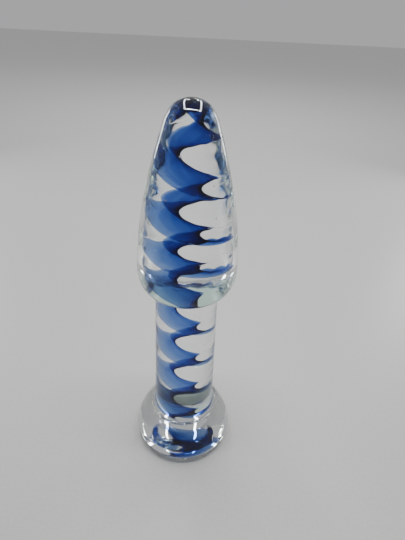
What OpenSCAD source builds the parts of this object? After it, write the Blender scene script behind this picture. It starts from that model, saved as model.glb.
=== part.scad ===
// Solid clear glass piece, free standing: round foot, plain neck and a tapered rounded head,
// with one twisted strip of blue glass sealed inside along its whole length.
// It is made of borosilicate pieces that are joined at the torch: a flat strip of colour between
// two clear half rods, a little off the middle, twisted into a cane, which is then cased and shaped
// with further clear glass.
// Origin: centre of the flat underside. +Z runs up the axis to the tip. Units: millimetres.

/* [Overall] */

// Height from the underside of the foot to the tip of the head
total_height = 137.6; // [137:0.1:146]

/* [Head] */

// Largest radius of the head
head_radius = 17.1; // [16:0.1:20]

// Height at which the head is widest
head_waist_height = 83.8; // [82:0.1:88]

// Height of the seam where the head meets the neck
shoulder_height = 74.9; // [73:0.1:78]

// Fullness of the rounded shoulder under the head: 1 is an ellipse, less is squarer
shoulder_fullness = 0.95; // [0.7:0.05:1.2]

// Radius of the ball shape at the tip
tip_radius = 8.2; // [7:0.1:10]

// How fast the radius shrinks with height where the taper meets the tip
tip_slope = 0.34; // [0.2:0.01:0.4]

/* [Neck] */

// Radius of the neck just under the head
neck_top_radius = 11.1; // [11:0.1:12.5]

// Radius of the neck where it runs into the foot
neck_foot_radius = 12.0; // [11.5:0.1:13]

/* [Foot] */

// Largest radius of the foot
foot_radius = 20.0; // [18.5:0.1:24]

// Height at which the foot is widest
foot_edge_height = 5.0; // [4:0.1:7]

// Radius of the flat part of the underside, inside its rounded edge
foot_flat_radius = 11.0; // [8:0.1:13]

// Fullness of the rounded lower edge: 2 is an ellipse, more is squarer
foot_edge_fullness = 2.6; // [2:0.1:4]

// Fullness of the bell above the edge: 1 is a cone, 2 is an ellipse
foot_bell_fullness = 1.2; // [1.1:0.05:2]

// Radius at which the bell turns into the hollow curve under the neck
foot_collar_radius = 14.0; // [13.5:0.1:15]

// Height at which the bell turns into the hollow curve under the neck
foot_collar_height = 17.0; // [14:0.1:18]

// Height of the seam where the foot meets the neck
foot_height = 20.5; // [19:0.1:22]

/* [Cane] */

// Height of the lower end of the cane, above the underside
cane_foot_height = 6.0; // [3:0.5:8]

// Height of the upper end of the cane
cane_tip_height = 134.0; // [128:0.5:134]

// Radius of the cane in the foot and neck
cane_neck_radius = 8.4; // [7:0.1:9]

// Radius of the cane in the widest part of the head
cane_head_radius = 9.9; // [8:0.1:11]

// Radius of the cane at its closed upper end
cane_tip_radius = 4.2; // [3:0.1:4]

/* [Blue strip] */

// Thickness of the strip
strip_thickness = 0.5; // [0.3:0.05:0.8]

// Width over which the strip thins to a sharp edge on its short side
strip_feather = 1.0; // [0.5:0.1:2]

// How far the strip reaches to its short side in the neck. Its other side always reaches the casing
neck_short_reach = 2.2; // [1:0.1:4]

// How far the strip reaches to its short side in the head
head_short_reach = 5.0; // [2:0.1:6]

// Distance from the axis of the piece to the middle of the strip
strip_offset = 2.1; // [1:0.1:2.3]

// Height of one full turn in the neck
neck_pitch = 15.3; // [12:0.1:20]

// Height of one full turn in the lower half of the head
head_pitch = 9.9; // [8:0.1:14]

// Height of one full turn at the tip
tip_pitch = 19.8; // [14:0.1:24]

// Direction of the strip at the underside of the foot, in degrees
strip_start = 252.8; // [0:0.1:360]

/* [Detail] */

// Mesh steps in one average turn of the strip
steps_per_turn = 20; // [12:1:28]

// Mesh steps across the strip
steps_across = 5; // [4:1:7]

// Mesh steps round half of the cane
steps_round = 9; // [6:1:12]

/* [Node] */

// Sub-part to build

/* [Hidden] */

$fn = 96;

clear = [0.86, 0.93, 0.93, 0.35];
core = [0.82, 0.91, 0.93, 0.35];
blue = [0.07, 0.16, 0.62, 0.8];

// Head: the taper meets the ball of the tip where their slopes are equal.
tip_angle = atan(tip_slope);
ball_centre = total_height - tip_radius;
taper_end_r = tip_radius * cos(tip_angle);
taper_end_z = ball_centre + tip_radius * sin(tip_angle);
taper_power = tip_slope * (taper_end_z - head_waist_height) / (head_radius - taper_end_r);

// Cane: its radius runs straight between these heights, and one gap is left all round it.
gap = 0.01;
taper_height = total_height - head_waist_height;
cane_knots = [
    [cane_foot_height, cane_neck_radius],
    [shoulder_height, cane_neck_radius],
    [head_waist_height, cane_head_radius],
    [head_waist_height + 0.42 * taper_height, cane_head_radius - 0.6],
    [head_waist_height + 0.74 * taper_height, (cane_head_radius + cane_tip_radius) / 2],
    [cane_tip_height, cane_tip_radius]
];
mean_pitch = (neck_pitch + head_pitch) / 2;

// The near face of the strip is on the axis side of its middle, and the far face is on the other side.
NEAR = -1;
FAR = 1;

function blend(a, b, x) = let(t = min(max((x - a) / (b - a), 0), 1)) t * t * (3 - 2 * t);
function ramp(a, b, x) = min(max((x - a) / (b - a), 0), 1);

// Height of one full turn at height z: steady in the neck, tight at the waist, opening to the tip.
function pitch(z) =
    neck_pitch
    + (head_pitch - neck_pitch) * blend(shoulder_height - 3.9, head_waist_height, z)
    + (tip_pitch - head_pitch) * ramp(head_waist_height + 3.1, total_height - 13.8, z);

// Heights of the mesh rings, so that one ring lies on every knot.
function steps_in(a, b) = ceil((b - a) / (mean_pitch / steps_per_turn));
ring_z = [
    for (k = [0 : len(cane_knots) - 2])
        let(a = cane_knots[k][0], b = cane_knots[k + 1][0], n = steps_in(a, b))
            for (i = [(k == 0 ? 0 : 1) : n]) a + (b - a) * i / n
];
function cane_r(z) = lookup(z, cane_knots) - gap;

// Direction of the strip at each ring: the twist is left-handed, so it falls as z rises.
ring_angle = [
    for (i = 0, a = strip_start - 360 * ring_z[0] / neck_pitch; i < len(ring_z);
        a = a - (i + 1 < len(ring_z)
            ? 360 * (ring_z[i + 1] - ring_z[i]) / pitch((ring_z[i] + ring_z[i + 1]) / 2) : 0),
        i = i + 1) a
];

function turned(s, d, a, z) = [s * cos(a) - d * sin(a), s * sin(a) + d * cos(a), z];

// How far the strip reaches to its short side at height z.
function short_reach(z) = min(
    neck_short_reach
        + (head_short_reach - neck_short_reach) * blend(shoulder_height - 5, head_waist_height + 20, z),
    0.7 * (cane_r(z) - 1)
);

// Distance from the axis of station k: stations 0 and 1 lie in the middle of the strip's thickness,
// on the cane wall and on the strip's sharp edge, and the others lie on one face of the strip.
function face_distance(side, k) = strip_offset + (k < 2 ? 0 : side * strip_thickness / 2);

// Where station k lies along the strip's direction, at height z.
function station(side, k, z) =
    let(end = sqrt(pow(cane_r(z), 2) - pow(face_distance(side, k), 2)), edge = -short_reach(z))
        k == 0 ? -end
        : k == 1 ? edge
        : edge + strip_feather + (end - edge - strip_feather) * (k - 2) / (steps_across - 2);

// Stations of one face of the strip at ring i, in the order asked for.
function face_row(i, side, order) = let(z = ring_z[i])
    [for (k = order) turned(station(side, k, z), face_distance(side, k), ring_angle[i], z)];

// Points round the cane wall from one end of that row to the other, ends left out.
function wall_row(i, side) =
    let(
        r = cane_r(ring_z[i]),
        strip_end = asin(face_distance(side, steps_across) / r),
        clear_end = 180 - asin(face_distance(side, 0) / r),
        a0 = side == FAR ? strip_end : clear_end,
        a1 = side == FAR ? clear_end : 360 + strip_end
    )
    [for (k = [1 : steps_round - 1])
        let(b = a0 + (a1 - a0) * k / steps_round)
            turned(r * cos(b), r * sin(b), ring_angle[i], ring_z[i])];

// Triangles of a flat end with n points, cut between its first row, of so many edges, and the rest.
function partner(i, n, edges) = n - 1 - round((i + 0.5) * (n - edges - 2) / edges);
function end_cuts(n, edges) = concat(
    [for (i = [0 : edges - 1]) [i, i + 1, partner(i, n, edges)]],
    [for (j = [n - 2 : -1 : edges + 1])
        [len([for (i = [0 : edges - 1]) if (partner(i, n, edges) > j) i]), j, j + 1]]
);

// Closed skin over a stack of rings, each with the same number of points. Each four-cornered step is
// cut into two triangles, and from point turn_from to turn_to it is cut along the other diagonal,
// so that two pieces that share a twisted face are cut alike there.
module stacked(rings, edges, turn_from = 0, turn_to = 0) {
    n = len(rings[0]);
    m = len(rings);
    points = [for (ring = rings) for (p = ring) p];
    sides = [
        for (i = [0 : m - 2]) for (k = [0 : n - 1])
            let(a = i * n + k, b = i * n + (k + 1) % n, c = a + n, d = b + n)
                for (f = k >= turn_from && k < turn_to
                    ? [[a, c, b], [b, c, d]] : [[a, d, b], [a, c, d]]) f
    ];
    ends = [for (t = end_cuts(n, edges)) for (f = [t, [for (q = [2, 1, 0]) (m - 1) * n + t[q]]]) f];
    polyhedron(points = points, faces = concat(sides, ends), convexity = 12);
}

// Foot outline, with a from 0 to 90: the rounded lower edge, the bell, and the curve into the neck.
function edge_point(a) = [
    foot_flat_radius + (foot_radius - foot_flat_radius) * pow(sin(a), 2 / foot_edge_fullness),
    foot_edge_height * (1 - pow(cos(a), 2 / foot_edge_fullness))
];
function bell_point(a) = [
    foot_collar_radius + (foot_radius - foot_collar_radius) * pow(cos(a), 2 / foot_bell_fullness),
    foot_edge_height + (foot_collar_height - foot_edge_height) * pow(sin(a), 2 / foot_bell_fullness)
];
function collar_point(a) = [
    foot_collar_radius - (foot_collar_radius - neck_foot_radius) * sin(a),
    foot_collar_height + (foot_height - foot_collar_height) * (1 - cos(a))
];
function shoulder_point(a) = [
    neck_top_radius + (head_radius - neck_top_radius) * pow(sin(a), shoulder_fullness),
    head_waist_height - (head_waist_height - shoulder_height) * pow(cos(a), shoulder_fullness)
];
function taper_point(u) = [
    head_radius - (head_radius - taper_end_r) * pow(u, taper_power),
    head_waist_height + (taper_end_z - head_waist_height) * u
];

module foot() {
    color(clear) rotate_extrude()
        polygon(concat(
            [[0, 0]],
            [for (a = [0 : 9 : 90]) edge_point(a)],
            [for (a = [6 : 6 : 84]) bell_point(a)],
            [for (a = [0 : 15 : 90]) collar_point(a)],
            [[cane_neck_radius, foot_height], [cane_neck_radius, cane_foot_height], [0, cane_foot_height]]
        ));
}

module neck_casing() {
    color(clear) rotate_extrude()
        polygon([
            [cane_neck_radius, foot_height],
            [neck_foot_radius, foot_height],
            [neck_top_radius, shoulder_height],
            [cane_neck_radius, shoulder_height]
        ]);
}

module head_gather() {
    color(clear) rotate_extrude()
        polygon(concat(
            [for (a = [0 : 7.5 : 90]) shoulder_point(a)],
            [for (i = [1 : 24]) taper_point(i / 24)],
            [for (i = [1 : 12]) let(a = tip_angle + (90 - tip_angle) * i / 12)
                [tip_radius * (i == 12 ? 0 : cos(a)), ball_centre + tip_radius * sin(a)]],
            [[0, cane_tip_height]],
            [for (k = [len(cane_knots) - 1 : -1 : 1]) [cane_knots[k][1], cane_knots[k][0]]]
        ));
}

module cane_half_inner() {
    color(core) stacked(
        [for (i = [0 : len(ring_z) - 1])
            concat(face_row(i, NEAR, [steps_across : -1 : 0]), wall_row(i, NEAR))],
        steps_across, 0, steps_across
    );
}

module cane_half_outer() {
    color(core) stacked(
        [for (i = [0 : len(ring_z) - 1])
            concat(face_row(i, FAR, [0 : steps_across]), wall_row(i, FAR))],
        steps_across
    );
}

module blue_strip() {
    color(blue) stacked(
        [for (i = [0 : len(ring_z) - 1])
            concat(face_row(i, NEAR, [1 : steps_across]), face_row(i, FAR, [steps_across : -1 : 2]))],
        steps_across - 1, steps_across, 2 * steps_across - 1
    );
}

foot();
neck_casing();
head_gather();
cane_half_inner();
cane_half_outer();
blue_strip();
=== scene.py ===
"""A solid clear glass piece on a pale floor: round foot, plain neck, tapered head, and a twisted
strip of blue glass sealed inside. Lengths are in metres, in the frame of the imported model: the
origin is at the centre of the flat underside and +Z runs up the axis.

Every glass piece is a closed mesh. Its outside is glass, and each face where it is melted to its
neighbour is clear, so light bends only where it enters and leaves, as in one piece of glass."""

from math import cos, radians, sin

import bpy
import numpy as np
from mathutils import Matrix, Vector


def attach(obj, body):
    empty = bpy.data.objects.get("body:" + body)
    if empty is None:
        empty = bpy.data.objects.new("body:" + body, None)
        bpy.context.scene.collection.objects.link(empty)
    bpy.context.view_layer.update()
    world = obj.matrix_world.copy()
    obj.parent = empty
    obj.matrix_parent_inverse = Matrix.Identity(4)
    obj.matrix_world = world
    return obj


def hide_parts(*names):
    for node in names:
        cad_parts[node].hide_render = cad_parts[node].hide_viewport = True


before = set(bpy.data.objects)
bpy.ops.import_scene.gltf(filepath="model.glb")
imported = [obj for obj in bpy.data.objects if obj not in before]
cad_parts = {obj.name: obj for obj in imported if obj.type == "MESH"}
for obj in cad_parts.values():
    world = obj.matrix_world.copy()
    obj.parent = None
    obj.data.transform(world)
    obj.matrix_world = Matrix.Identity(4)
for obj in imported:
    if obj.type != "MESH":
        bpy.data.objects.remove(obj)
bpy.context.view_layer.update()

MM = 0.001

# ---------------------------------------------------------------- sizes, in millimetres

TOTAL = 137.6
HEAD_R, WAIST_Z, SHOULDER_Z, FULLNESS = 17.1, 83.8, 74.9, 0.95
TIP_R, TIP_SLOPE = 8.2, 0.34
NECK_TOP_R, NECK_FOOT_R = 11.1, 12.0
FOOT_R, EDGE_Z, FLAT_R, EDGE_FULLNESS = 20.0, 5.0, 11.0, 2.6
COLLAR_R, COLLAR_Z, BELL_FULLNESS, FOOT_H = 14.0, 17.0, 1.2, 20.5
CANE_BOTTOM, CANE_TOP = 6.0, 134.0
CANE_NECK_R, CANE_HEAD_R, CANE_TIP_R = 8.4, 9.9, 4.2
STRIP_OFFSET, STRIP_T, NECK_SHORT, HEAD_SHORT = 2.1, 0.5, 2.2, 5.0
CANE_INSET, STRIP_INSET = 0.35, 0.06  # how far the half rods and the strip stay inside the bore

# The twist, left-handed: its direction at the floor in degrees, and the height of one full turn. It
# tightens from one height up to the waist and opens again between two others.
STRIP_START = 252.8
NECK_PITCH, HEAD_PITCH, TIP_PITCH = 15.3, 9.9, 19.8
TIGHTENS_Z, OPENS_Z, OPEN_Z = SHOULDER_Z - 3.9, WAIST_Z + 3.1, TOTAL - 13.8

# The strip's short side: heights between which it reaches further, and its limit near the tip
REACH_FROM_Z, REACH_TO_Z, REACH_LIMIT = SHOULDER_Z - 5, WAIST_Z + 20, 0.7

# How much thinner the strip gets towards its long edge and along the neck, and its streaks: how
# strong each is, how fast it repeats across the strip and along it, and where it starts
LONG_EDGE_THINNING, NECK_THINNING = 0.55, 0.45
STREAKS = ((0.10, 2.3, 0.03, 0.0), (0.08, 4.7, -0.05, 1.0), (0.06, 9.1, 0.08, 2.0))

# Waves of the cane's wall in the head: how strong each is, and how it repeats round and along
WALL_WAVE = 0.3
WALL_WAVES = ((0.45, 7, 0.55, 0), (0.3, 11, -0.8, 1), (0.25, 3, 1.3, 2))

# Tiny bubbles left in the clear glass: where each one is, and its radius
BUBBLES = {
    "head_glass": (
        (-2.6, -8.1, 123.6, 0.4),
        (-8.0, -7.7, 111.4, 0.22),
        (-6.3, -9.3, 111.3, 0.25),
        (6.4, -8.1, 115.7, 0.2),
        (7.4, -9.4, 106.3, 0.22),
        (-6.0, -11.3, 96.7, 0.16),
        (-7.7, -10.5, 94.1, 0.22),
    ),
    "neck_glass": ((4.5, -8.9, 68.6, 0.2), (6.7, -7.4, 54.8, 0.2)),
}

CANE_KNOTS = np.array(
    [
        (CANE_BOTTOM, CANE_NECK_R),
        (SHOULDER_Z, CANE_NECK_R),
        (WAIST_Z, CANE_HEAD_R),
        (WAIST_Z + 0.42 * (TOTAL - WAIST_Z), CANE_HEAD_R - 0.6),
        (WAIST_Z + 0.74 * (TOTAL - WAIST_Z), (CANE_HEAD_R + CANE_TIP_R) / 2),
        (CANE_TOP, CANE_TIP_R),
    ]
)


# ---------------------------------------------------------------- mesh steps

AROUND = 192  # round each turned piece
CANE_RINGS = 361  # up the half rods and the strip
HALF_ACROSS, HALF_ROUND = 12, 30  # across a half rod's flat side, and round its other side
STRIP_ACROSS = 40
BUBBLE_ROWS, BUBBLE_ROUND = 8, 12


# ---------------------------------------------------------------- finishes

GLASS_IOR = 1.47
CANE_WALL_IOR = 1.08  # the small step between the cane and the glass melted round it

# Each surface's waves: how fine they are, how strong, and how high in metres
OUTER_WAVES = (130.0, 0.35, 0.0007)
FOOT_WAVES = (130.0, 0.06, 0.0007)
CANE_WAVES = (220.0, 0.15, 0.0004)
FLOOR_WAVES = (900.0, 0.15, 0.0002)

# Each colour drifts between two values
CLEAR_TINT = (0.985, 0.995, 0.99), (1.0, 1.0, 1.0)
CANE_TINT = (0.985, 0.995, 1.0), (1.0, 1.0, 1.0)
JOINT_TINT = (0.997, 1.0, 1.0), (1.0, 1.0, 1.0)
BLUE_TINT = (0.35, 0.45, 0.70), (0.45, 0.55, 0.78)
FLOOR_TINT = (0.30, 0.296, 0.29), (0.345, 0.341, 0.335)
# Painted light: from the first distance below out to the second, the floor is painted lighter, standing
# in for lamp light that falls off far away.
FAR_FLOOR_PAINTED_LIGHTER = (0.72, 0.718, 0.715, 1)
PAINTED_LIGHT_DISTANCES = (0.3, 1.1)  # from this far out the floor gets lighter, until this far

# What the glass absorbs in its thickness: a colour and a density per metre
CLEAR_DEPTH = (0.86, 0.955, 0.93), 5.0
BLUE_DEPTH = (0.0, 0.36, 0.78), 8000.0


# ---------------------------------------------------------------- light, in metres and watts

WORLD_COLOUR, WORLD_STRENGTH = (0.8, 0.8, 0.82, 1), 0.55
FRAME_AT, FRAME_HALF_X, FRAME_HALF_Y, BAR, BAR_POWER = (0.02, 0.22, 0.46), 0.14, 0.25, 0.022, 1.4
PANEL_AT, PANEL_AIM_Z, PANEL_SIZE, PANEL_POWER = (0.3, 0.3, 0.17), 0.09, (0.05, 0.2), 0.4


# ---------------------------------------------------------------- the shape as functions


def smooth(a, b, x):
    t = np.clip((x - a) / (b - a), 0, 1)
    return t * t * (3 - 2 * t)


def pitch(z):
    """Height of one full turn of the strip at height z."""
    return (
        NECK_PITCH
        + (HEAD_PITCH - NECK_PITCH) * smooth(TIGHTENS_Z, WAIST_Z, z)
        + (TIP_PITCH - HEAD_PITCH) * np.clip((z - OPENS_Z) / (OPEN_Z - OPENS_Z), 0, 1)
    )


FINE_Z = np.linspace(0, TOTAL, 1377)
STEP_TURN = 360 * np.diff(FINE_Z) / pitch((FINE_Z[1:] + FINE_Z[:-1]) / 2)
TURN = np.concatenate([[0], np.cumsum(STEP_TURN)])


def angle(z):
    """Direction of the strip at height z, in radians. The twist is left-handed."""
    return np.radians(STRIP_START - np.interp(z, FINE_Z, TURN))


def cane_radius(z):
    return np.interp(z, CANE_KNOTS[:, 0], CANE_KNOTS[:, 1])


def foot_outline():
    """Flat underside, rounded edge, bell, and the hollow curve into the neck."""
    flat = np.c_[np.linspace(0, FLAT_R, 13)[:-1], np.zeros(12)]
    a = np.radians(np.linspace(0, 90, 41))
    power = 2 / EDGE_FULLNESS
    edge = np.c_[FLAT_R + (FOOT_R - FLAT_R) * np.sin(a) ** power, EDGE_Z * (1 - np.cos(a) ** power)]
    a, power = a[1:], 2 / BELL_FULLNESS
    bell = np.c_[
        COLLAR_R + (FOOT_R - COLLAR_R) * np.cos(a) ** power,
        EDGE_Z + (COLLAR_Z - EDGE_Z) * np.sin(a) ** power,
    ]
    collar = np.c_[
        COLLAR_R - (COLLAR_R - NECK_FOOT_R) * np.sin(a),
        COLLAR_Z + (FOOT_H - COLLAR_Z) * (1 - np.cos(a)),
    ]
    return np.vstack([flat, edge, bell, collar])


def neck_outline():
    z = np.linspace(FOOT_H, SHOULDER_Z, 90)
    return np.c_[np.interp(z, [FOOT_H, SHOULDER_Z], [NECK_FOOT_R, NECK_TOP_R]), z]


def head_outline():
    """Rounded shoulder, taper, and the ball of the tip, which meets the taper at the same slope."""
    tip = np.arctan(TIP_SLOPE)
    ball_z = TOTAL - TIP_R
    end_r, end_z = TIP_R * np.cos(tip), ball_z + TIP_R * np.sin(tip)
    power = TIP_SLOPE * (end_z - WAIST_Z) / (HEAD_R - end_r)
    a = np.radians(np.linspace(0, 90, 37))
    shoulder = np.c_[
        NECK_TOP_R + (HEAD_R - NECK_TOP_R) * np.sin(a) ** FULLNESS,
        WAIST_Z - (WAIST_Z - SHOULDER_Z) * np.cos(a) ** FULLNESS,
    ]
    u = np.linspace(0, 1, 81)[1:]
    taper = np.c_[HEAD_R - (HEAD_R - end_r) * u**power, WAIST_Z + (end_z - WAIST_Z) * u]
    a = np.linspace(tip, np.pi / 2, 31)[1:]
    ball = np.c_[TIP_R * np.cos(a), ball_z + TIP_R * np.sin(a)]
    ball[-1, 0] = 0
    return np.vstack([shoulder, taper, ball])


def bore(z_from, z_to):
    """The wall that a piece shares with the cane, from one height to another."""
    n = max(2, int(abs(z_to - z_from) / 0.8))
    z = np.linspace(z_from, z_to, n)
    return np.c_[cane_radius(z), z]


# ---------------------------------------------------------------- meshes


def new_piece(name, verts, faces, materials, which):
    mesh = bpy.data.meshes.new(name)
    mesh.from_pydata([tuple(v) for v in np.asarray(verts) * MM], [], faces)
    for m in materials:
        mesh.materials.append(m)
    mesh.polygons.foreach_set("material_index", which)
    mesh.polygons.foreach_set("use_smooth", [True] * len(faces))
    mesh.set_sharp_from_angle(angle=np.radians(40))
    mesh.update()
    ob = bpy.data.objects.new(name, mesh)
    bpy.context.scene.collection.objects.link(ob)
    return ob


def bubble(centre, radius, first):
    """Points and faces of a tiny hollow, numbered from first. Its faces look inwards, at the air."""
    rows, around = BUBBLE_ROWS, BUBBLE_ROUND
    up = np.radians(np.linspace(-90, 90, rows + 1))[1:-1]
    a = np.linspace(0, 2 * np.pi, around, endpoint=False)
    rings = [
        np.c_[np.cos(u) * np.cos(a), np.cos(u) * np.sin(a), np.full(around, np.sin(u))] for u in up
    ]
    points = np.vstack([[(0, 0, -1)], *rings, [(0, 0, 1)]]) * radius + centre
    last = first + len(points) - 1
    faces = []
    for k in range(around):
        q = (k + 1) % around
        faces.append((first, first + 1 + k, first + 1 + q))
        for i in range(rows - 2):
            low, high = first + 1 + i * around, first + 1 + (i + 1) * around
            faces.append((low + k, high + k, high + q, low + q))
        faces.append((last, last - around + q, last - around + k))
    return [tuple(v) for v in points], faces


def turned(name, outside, inside, materials):
    """A turned piece, closed by its shared wall. outside runs up the air side and inside runs back
    down the melted side. Points on the axis become single vertices."""
    line = np.vstack([outside, inside])
    melted = [i >= len(outside) - 1 for i in range(len(line))]
    a = np.linspace(0, 2 * np.pi, AROUND, endpoint=False)
    verts, rings = [], []
    for r, z in line:
        if r < 1e-9:
            rings.append([len(verts)])
            verts.append((0, 0, z))
        else:
            rings.append(list(range(len(verts), len(verts) + AROUND)))
            verts.extend(zip(r * np.cos(a), r * np.sin(a), np.full(AROUND, z)))
    faces, which = [], []
    n = len(line)
    for i in range(n):
        lo, hi = rings[i], rings[(i + 1) % n]
        if len(lo) == 1 and len(hi) == 1:
            continue
        for k in range(AROUND):
            q = (k + 1) % AROUND
            if len(lo) == 1:
                f = (lo[0], hi[q], hi[k])
            elif len(hi) == 1:
                f = (lo[k], lo[q], hi[0])
            else:
                f = (lo[k], lo[q], hi[q], hi[k])
            faces.append(f)
            which.append(1 if melted[i] else 0)
    for x, y, z, radius in BUBBLES.get(name, ()):
        points, hollow = bubble((x, y, z), radius, len(verts))
        verts.extend(points)
        faces.extend(hollow)
        which.extend([0] * len(hollow))
    return new_piece(name, verts, faces, materials, which)


def stacked(name, rings, materials, kind):
    """Closed skin over a stack of rings with the same number of points. kind gives the material of
    the side face that starts at each point of a ring, and the ends take the last material."""
    m, n = len(rings), len(rings[0])
    verts = np.vstack(rings)
    faces, which = [], []
    for i in range(m - 1):
        for k in range(n):
            q = (k + 1) % n
            faces.append((i * n + k, i * n + q, (i + 1) * n + q, (i + 1) * n + k))
            which.append(kind[k])
    faces += [tuple(range(n - 1, -1, -1)), tuple((m - 1) * n + k for k in range(n))]
    which += [len(materials) - 1] * 2
    return new_piece(name, verts, faces, materials, which)


def placed(s, d, z):
    """Points at s along the strip's direction and d across it, at height z."""
    a = angle(z)
    s, d = np.broadcast_arrays(s, d)
    return np.c_[s * np.cos(a) - d * np.sin(a), s * np.sin(a) + d * np.cos(a), np.full(len(s), z)]


def cane_heights():
    return np.linspace(CANE_BOTTOM, CANE_TOP, CANE_RINGS)


def wall_waves(a, z):
    """The uneven melt between the cane and the glass gathered round it in the head."""
    size = WALL_WAVE * smooth(SHOULDER_Z, WAIST_Z, z)
    return size * sum(part * np.sin(n * a + along * z + start) for part, n, along, start in WALL_WAVES)


def cane_half(name, far, materials):
    """One clear half rod of the cane: its flat twisted side first, then its round side."""
    across, around = HALF_ACROSS, HALF_ROUND
    d = STRIP_OFFSET + (STRIP_T / 2 if far else -STRIP_T / 2)
    rings = []
    for z in cane_heights():
        r = cane_radius(z) - CANE_INSET
        w = np.sqrt(r * r - d * d)
        e = np.arcsin(d / r)
        side = w if far else -w
        start, stop = (e, np.pi - e) if far else (np.pi - e, 2 * np.pi + e)
        s = np.linspace(-side, side, across + 1)
        a = np.linspace(start, stop, around + 1)[1:-1]
        flat = placed(s, np.full(len(s), d), z)
        r = r + wall_waves(a + angle(z), z)
        wall = placed(r * np.cos(a), r * np.sin(a), z)
        rings.append(np.vstack([flat, wall]))
    kind = [1] * across + [0] * around
    return stacked(name, rings, materials, kind)


def short_reach(z):
    """How far the strip goes on its short side, where it thins to a sharp edge."""
    reach = NECK_SHORT + (HEAD_SHORT - NECK_SHORT) * smooth(REACH_FROM_Z, REACH_TO_Z, z)
    return min(reach, REACH_LIMIT * (cane_radius(z) - 1))


def strip_half_thickness(s, short, reach, z):
    """Half the thickness at s: nothing at the short edge, then full, and thinner towards the long
    edge, with streaks that run along the twist. The strip is drawn out thinner in the neck."""
    body = smooth(-0.1, 1.2, s + short) * (1 - LONG_EDGE_THINNING * smooth(0.35, 1.0, s / reach))
    streak = 1 + sum(
        part * np.sin(across * s + along * z + start) for part, across, along, start in STREAKS
    )
    thickest = 1 + sum(part for part, *_ in STREAKS)
    in_neck = smooth(FOOT_H - 6, FOOT_H + 8, z) * (1 - smooth(SHOULDER_Z - 8, WAIST_Z, z))
    return STRIP_T / 2 * (1 - NECK_THINNING * in_neck) * body * streak / thickest


def blue_strip(name, materials):
    """The twisted strip: its near face from the short edge out, then its far face back."""
    rings = []
    for z in cane_heights():
        r = cane_radius(z) - STRIP_INSET
        reach = np.sqrt(r * r - (STRIP_OFFSET + STRIP_T / 2) ** 2)
        short = short_reach(z)
        s = np.linspace(-short, reach, STRIP_ACROSS + 1)
        h = strip_half_thickness(s, short, reach, z)
        h[0] = 0
        near = placed(s, STRIP_OFFSET - h, z)
        far = placed(s[:0:-1], (STRIP_OFFSET + h)[:0:-1], z)
        rings.append(np.vstack([near, far]))
    kind = [0] * (2 * STRIP_ACROSS + 1)
    return stacked(name, rings, materials, kind)


# ---------------------------------------------------------------- materials


def node_material(name):
    mat = bpy.data.materials.new(name)
    mat.use_nodes = True
    nt = mat.node_tree
    return mat, nt, nt.nodes["Principled BSDF"], nt.nodes["Material Output"]


def waves(nt, scale, strength, distance):
    """A faint unevenness of the surface."""
    place = nt.nodes.new("ShaderNodeTexCoord")
    noise = nt.nodes.new("ShaderNodeTexNoise")
    noise.inputs["Scale"].default_value = scale
    noise.inputs["Detail"].default_value = 1.0
    bump = nt.nodes.new("ShaderNodeBump")
    bump.inputs["Strength"].default_value = strength
    bump.inputs["Distance"].default_value = distance
    nt.links.new(place.outputs["Object"], noise.inputs["Vector"])
    nt.links.new(noise.outputs["Fac"], bump.inputs["Height"])
    return bump, noise


def tinted(nt, noise, low, high):
    """A colour that drifts slightly over the piece."""
    ramp = nt.nodes.new("ShaderNodeMix")
    ramp.data_type = "RGBA"
    ramp.inputs["A"].default_value = (*low, 1)
    ramp.inputs["B"].default_value = (*high, 1)
    nt.links.new(noise.outputs["Fac"], ramp.inputs["Factor"])
    return ramp.outputs["Result"]


def absorb(nt, out, colour, density):
    vol = nt.nodes.new("ShaderNodeVolumeAbsorption")
    vol.inputs["Color"].default_value = (*colour, 1)
    vol.inputs["Density"].default_value = density
    nt.links.new(vol.outputs["Volume"], out.inputs["Volume"])


def clear_glass(name, surface):
    """Clear glass with these surface waves. The foot's are weaker than the neck's and head's."""
    mat, nt, p, out = node_material(name)
    bump, noise = waves(nt, *surface)
    nt.links.new(tinted(nt, noise, *CLEAR_TINT), p.inputs["Base Color"])
    nt.links.new(bump.outputs["Normal"], p.inputs["Normal"])
    p.inputs["Roughness"].default_value = 0.0
    p.inputs["IOR"].default_value = GLASS_IOR
    p.inputs["Transmission Weight"].default_value = 1.0
    absorb(nt, out, *CLEAR_DEPTH)
    return mat


def cane_wall():
    mat, nt, p, out = node_material("cane_glass")
    bump, noise = waves(nt, *CANE_WAVES)
    nt.links.new(tinted(nt, noise, *CANE_TINT), p.inputs["Base Color"])
    nt.links.new(bump.outputs["Normal"], p.inputs["Normal"])
    p.inputs["Roughness"].default_value = 0.0
    p.inputs["IOR"].default_value = CANE_WALL_IOR
    p.inputs["Transmission Weight"].default_value = 1.0
    return mat


def melted():
    """The faces where two pieces are melted together: nothing to see, and light goes straight on."""
    mat, nt, p, out = node_material("melted_joint")
    nt.nodes.remove(p)
    clear = nt.nodes.new("ShaderNodeBsdfTransparent")
    noise = nt.nodes.new("ShaderNodeTexNoise")
    nt.links.new(tinted(nt, noise, *JOINT_TINT), clear.inputs["Color"])
    nt.links.new(clear.outputs["BSDF"], out.inputs["Surface"])
    return mat


def blue_glass():
    """Blue glass with no refraction of its own, because the glass it is sealed in bends light alike."""
    mat, nt, p, out = node_material("blue_glass")
    noise = nt.nodes.new("ShaderNodeTexNoise")
    noise.inputs["Scale"].default_value = 300.0
    nt.links.new(tinted(nt, noise, *BLUE_TINT), p.inputs["Base Color"])
    p.inputs["Roughness"].default_value = 0.0
    p.inputs["IOR"].default_value = 1.0
    p.inputs["Transmission Weight"].default_value = 1.0
    absorb(nt, out, *BLUE_DEPTH)
    return mat


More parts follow.
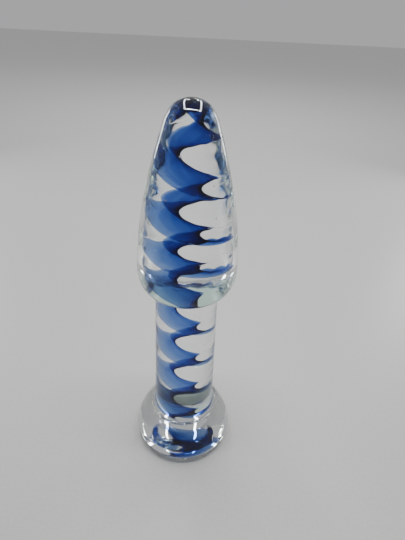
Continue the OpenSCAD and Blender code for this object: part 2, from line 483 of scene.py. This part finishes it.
def floor_with_painted_light():
    """Pale matt floor with painted light: painted lighter far away, where the lamps' light falls off,
    so that it meets the pale surroundings softly.
    """
    mat, nt, p, out = node_material("floor_with_painted_light")
    bump, noise = waves(nt, *FLOOR_WAVES)
    place = nt.nodes.new("ShaderNodeTexCoord")
    away = nt.nodes.new("ShaderNodeVectorMath")
    away.operation = "LENGTH"
    painted_light_fade = nt.nodes.new("ShaderNodeMapRange")
    painted_light_fade.interpolation_type = "SMOOTHSTEP"
    painted_light_fade.inputs["From Min"].default_value, painted_light_fade.inputs["From Max"].default_value = PAINTED_LIGHT_DISTANCES
    nt.links.new(place.outputs["Object"], away.inputs[0])
    nt.links.new(away.outputs["Value"], painted_light_fade.inputs["Value"])
    # Painted light: far out, the floor's colour is blended to a lighter one in place of the lamps'
    # light that does not reach there.
    colour = nt.nodes.new("ShaderNodeMix")
    colour.data_type = "RGBA"
    colour.inputs["B"].default_value = FAR_FLOOR_PAINTED_LIGHTER
    nt.links.new(tinted(nt, noise, *FLOOR_TINT), colour.inputs["A"])
    nt.links.new(painted_light_fade.outputs["Result"], colour.inputs["Factor"])
    nt.links.new(colour.outputs["Result"], p.inputs["Base Color"])
    p.inputs["Roughness"].default_value = 0.45
    return mat


# ---------------------------------------------------------------- building


def build_object():
    clear = clear_glass("clear_glass", OUTER_WAVES)
    smooth_clear = clear_glass("smooth_clear_glass", FOOT_WAVES)
    wall, joint, blue = cane_wall(), melted(), blue_glass()
    made = {}
    floor_of_bore = np.array([[0, CANE_BOTTOM]])
    top_of_bore = np.array([[0, CANE_TOP]])
    in_foot = np.vstack([bore(FOOT_H, CANE_BOTTOM), floor_of_bore])
    in_head = np.vstack([top_of_bore, bore(CANE_TOP, SHOULDER_Z)])
    glass = [clear, joint]
    made["foot"] = turned("foot_glass", foot_outline(), in_foot, [smooth_clear, joint])
    made["neck_casing"] = turned("neck_glass", neck_outline(), bore(SHOULDER_Z, FOOT_H), glass)
    made["head_gather"] = turned("head_glass", head_outline(), in_head, glass)
    made["cane_half_inner"] = cane_half("cane_inner_glass", False, [wall, joint])
    made["cane_half_outer"] = cane_half("cane_outer_glass", True, [wall, joint])
    made["blue_strip"] = blue_strip("blue_strip_glass", [blue])
    for node, ob in made.items():
        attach(ob, "root")
        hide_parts(node)


def add_floor():
    mesh = bpy.data.meshes.new("floor")
    size = 3.0
    corners = [(-size, -size, 0), (size, -size, 0), (size, size, 0), (-size, size, 0)]
    mesh.from_pydata(corners, [], [(0, 1, 2, 3)])
    mesh.materials.append(floor_with_painted_light())
    ob = bpy.data.objects.new("floor", mesh)
    ob.location.z = -0.00005
    bpy.context.scene.collection.objects.link(ob)


def add_lamp(name, place, target, size, power, colour=(1, 1, 1)):
    lamp = bpy.data.lights.new(name, "AREA")
    lamp.shape = "RECTANGLE"
    lamp.size, lamp.size_y = size
    lamp.energy = power
    lamp.color = colour
    ob = bpy.data.objects.new(name, lamp)
    ob.location = place
    ob.rotation_euler = (Vector(target) - Vector(place)).to_track_quat("-Z", "Y").to_euler()
    bpy.context.scene.collection.objects.link(ob)


def add_light():
    """Pale surroundings, a frame of four bars above and behind, and a soft panel on either side."""
    world = bpy.data.worlds.new("studio")
    world.use_nodes = True
    world.node_tree.nodes["Background"].inputs["Color"].default_value = WORLD_COLOUR
    world.node_tree.nodes["Background"].inputs["Strength"].default_value = WORLD_STRENGTH
    bpy.context.scene.world = world
    for side in (-1, 1):
        for name, offset, size in (
            ("cross_bar", (0, side * FRAME_HALF_Y, 0), (2 * FRAME_HALF_X, BAR)),
            ("long_bar", (side * FRAME_HALF_X, 0, 0), (BAR, 2 * FRAME_HALF_Y)),
        ):
            place = Vector(FRAME_AT) + Vector(offset)
            add_lamp(f"{name}_{side}", place, place - Vector((0, 0, 1)), size, BAR_POWER)
        x, y, z = PANEL_AT
        add_lamp(f"panel_{side}", (side * x, y, z), (0, 0, PANEL_AIM_Z), PANEL_SIZE, PANEL_POWER)


def add_camera():
    """The photograph's viewpoint: just above the tip and close, tilted down and turned slightly."""
    tilt, pan, roll = radians(32.65), radians(2.55), radians(2.97)
    ahead = Vector((sin(pan) * cos(tilt), cos(pan) * cos(tilt), -sin(tilt)))
    right = ahead.cross(Vector((0, 0, 1))).normalized()
    up = right.cross(ahead)
    right, up = right * cos(roll) + up * sin(roll), up * cos(roll) - right * sin(roll)
    cam = bpy.data.cameras.new("camera")
    cam.lens, cam.sensor_width = 27.0, 36.0
    cam.clip_start = 0.005
    ob = bpy.data.objects.new("camera", cam)
    ob.matrix_world = Matrix(
        (
            (right.x, up.x, -ahead.x, 0.0),
            (right.y, up.y, -ahead.y, -0.1176),
            (right.z, up.z, -ahead.z, 0.1575),
            (0, 0, 0, 1),
        )
    )
    bpy.context.scene.collection.objects.link(ob)
    bpy.context.scene.camera = ob


def let_light_through():
    """Solid glass turns light back inside many times, so paths are followed for longer."""
    cycles = bpy.context.scene.cycles
    cycles.max_bounces = cycles.transmission_bounces = cycles.glossy_bounces = 40
    cycles.transparent_max_bounces = 64


build_object()
add_floor()
add_light()
let_light_through()
add_camera()
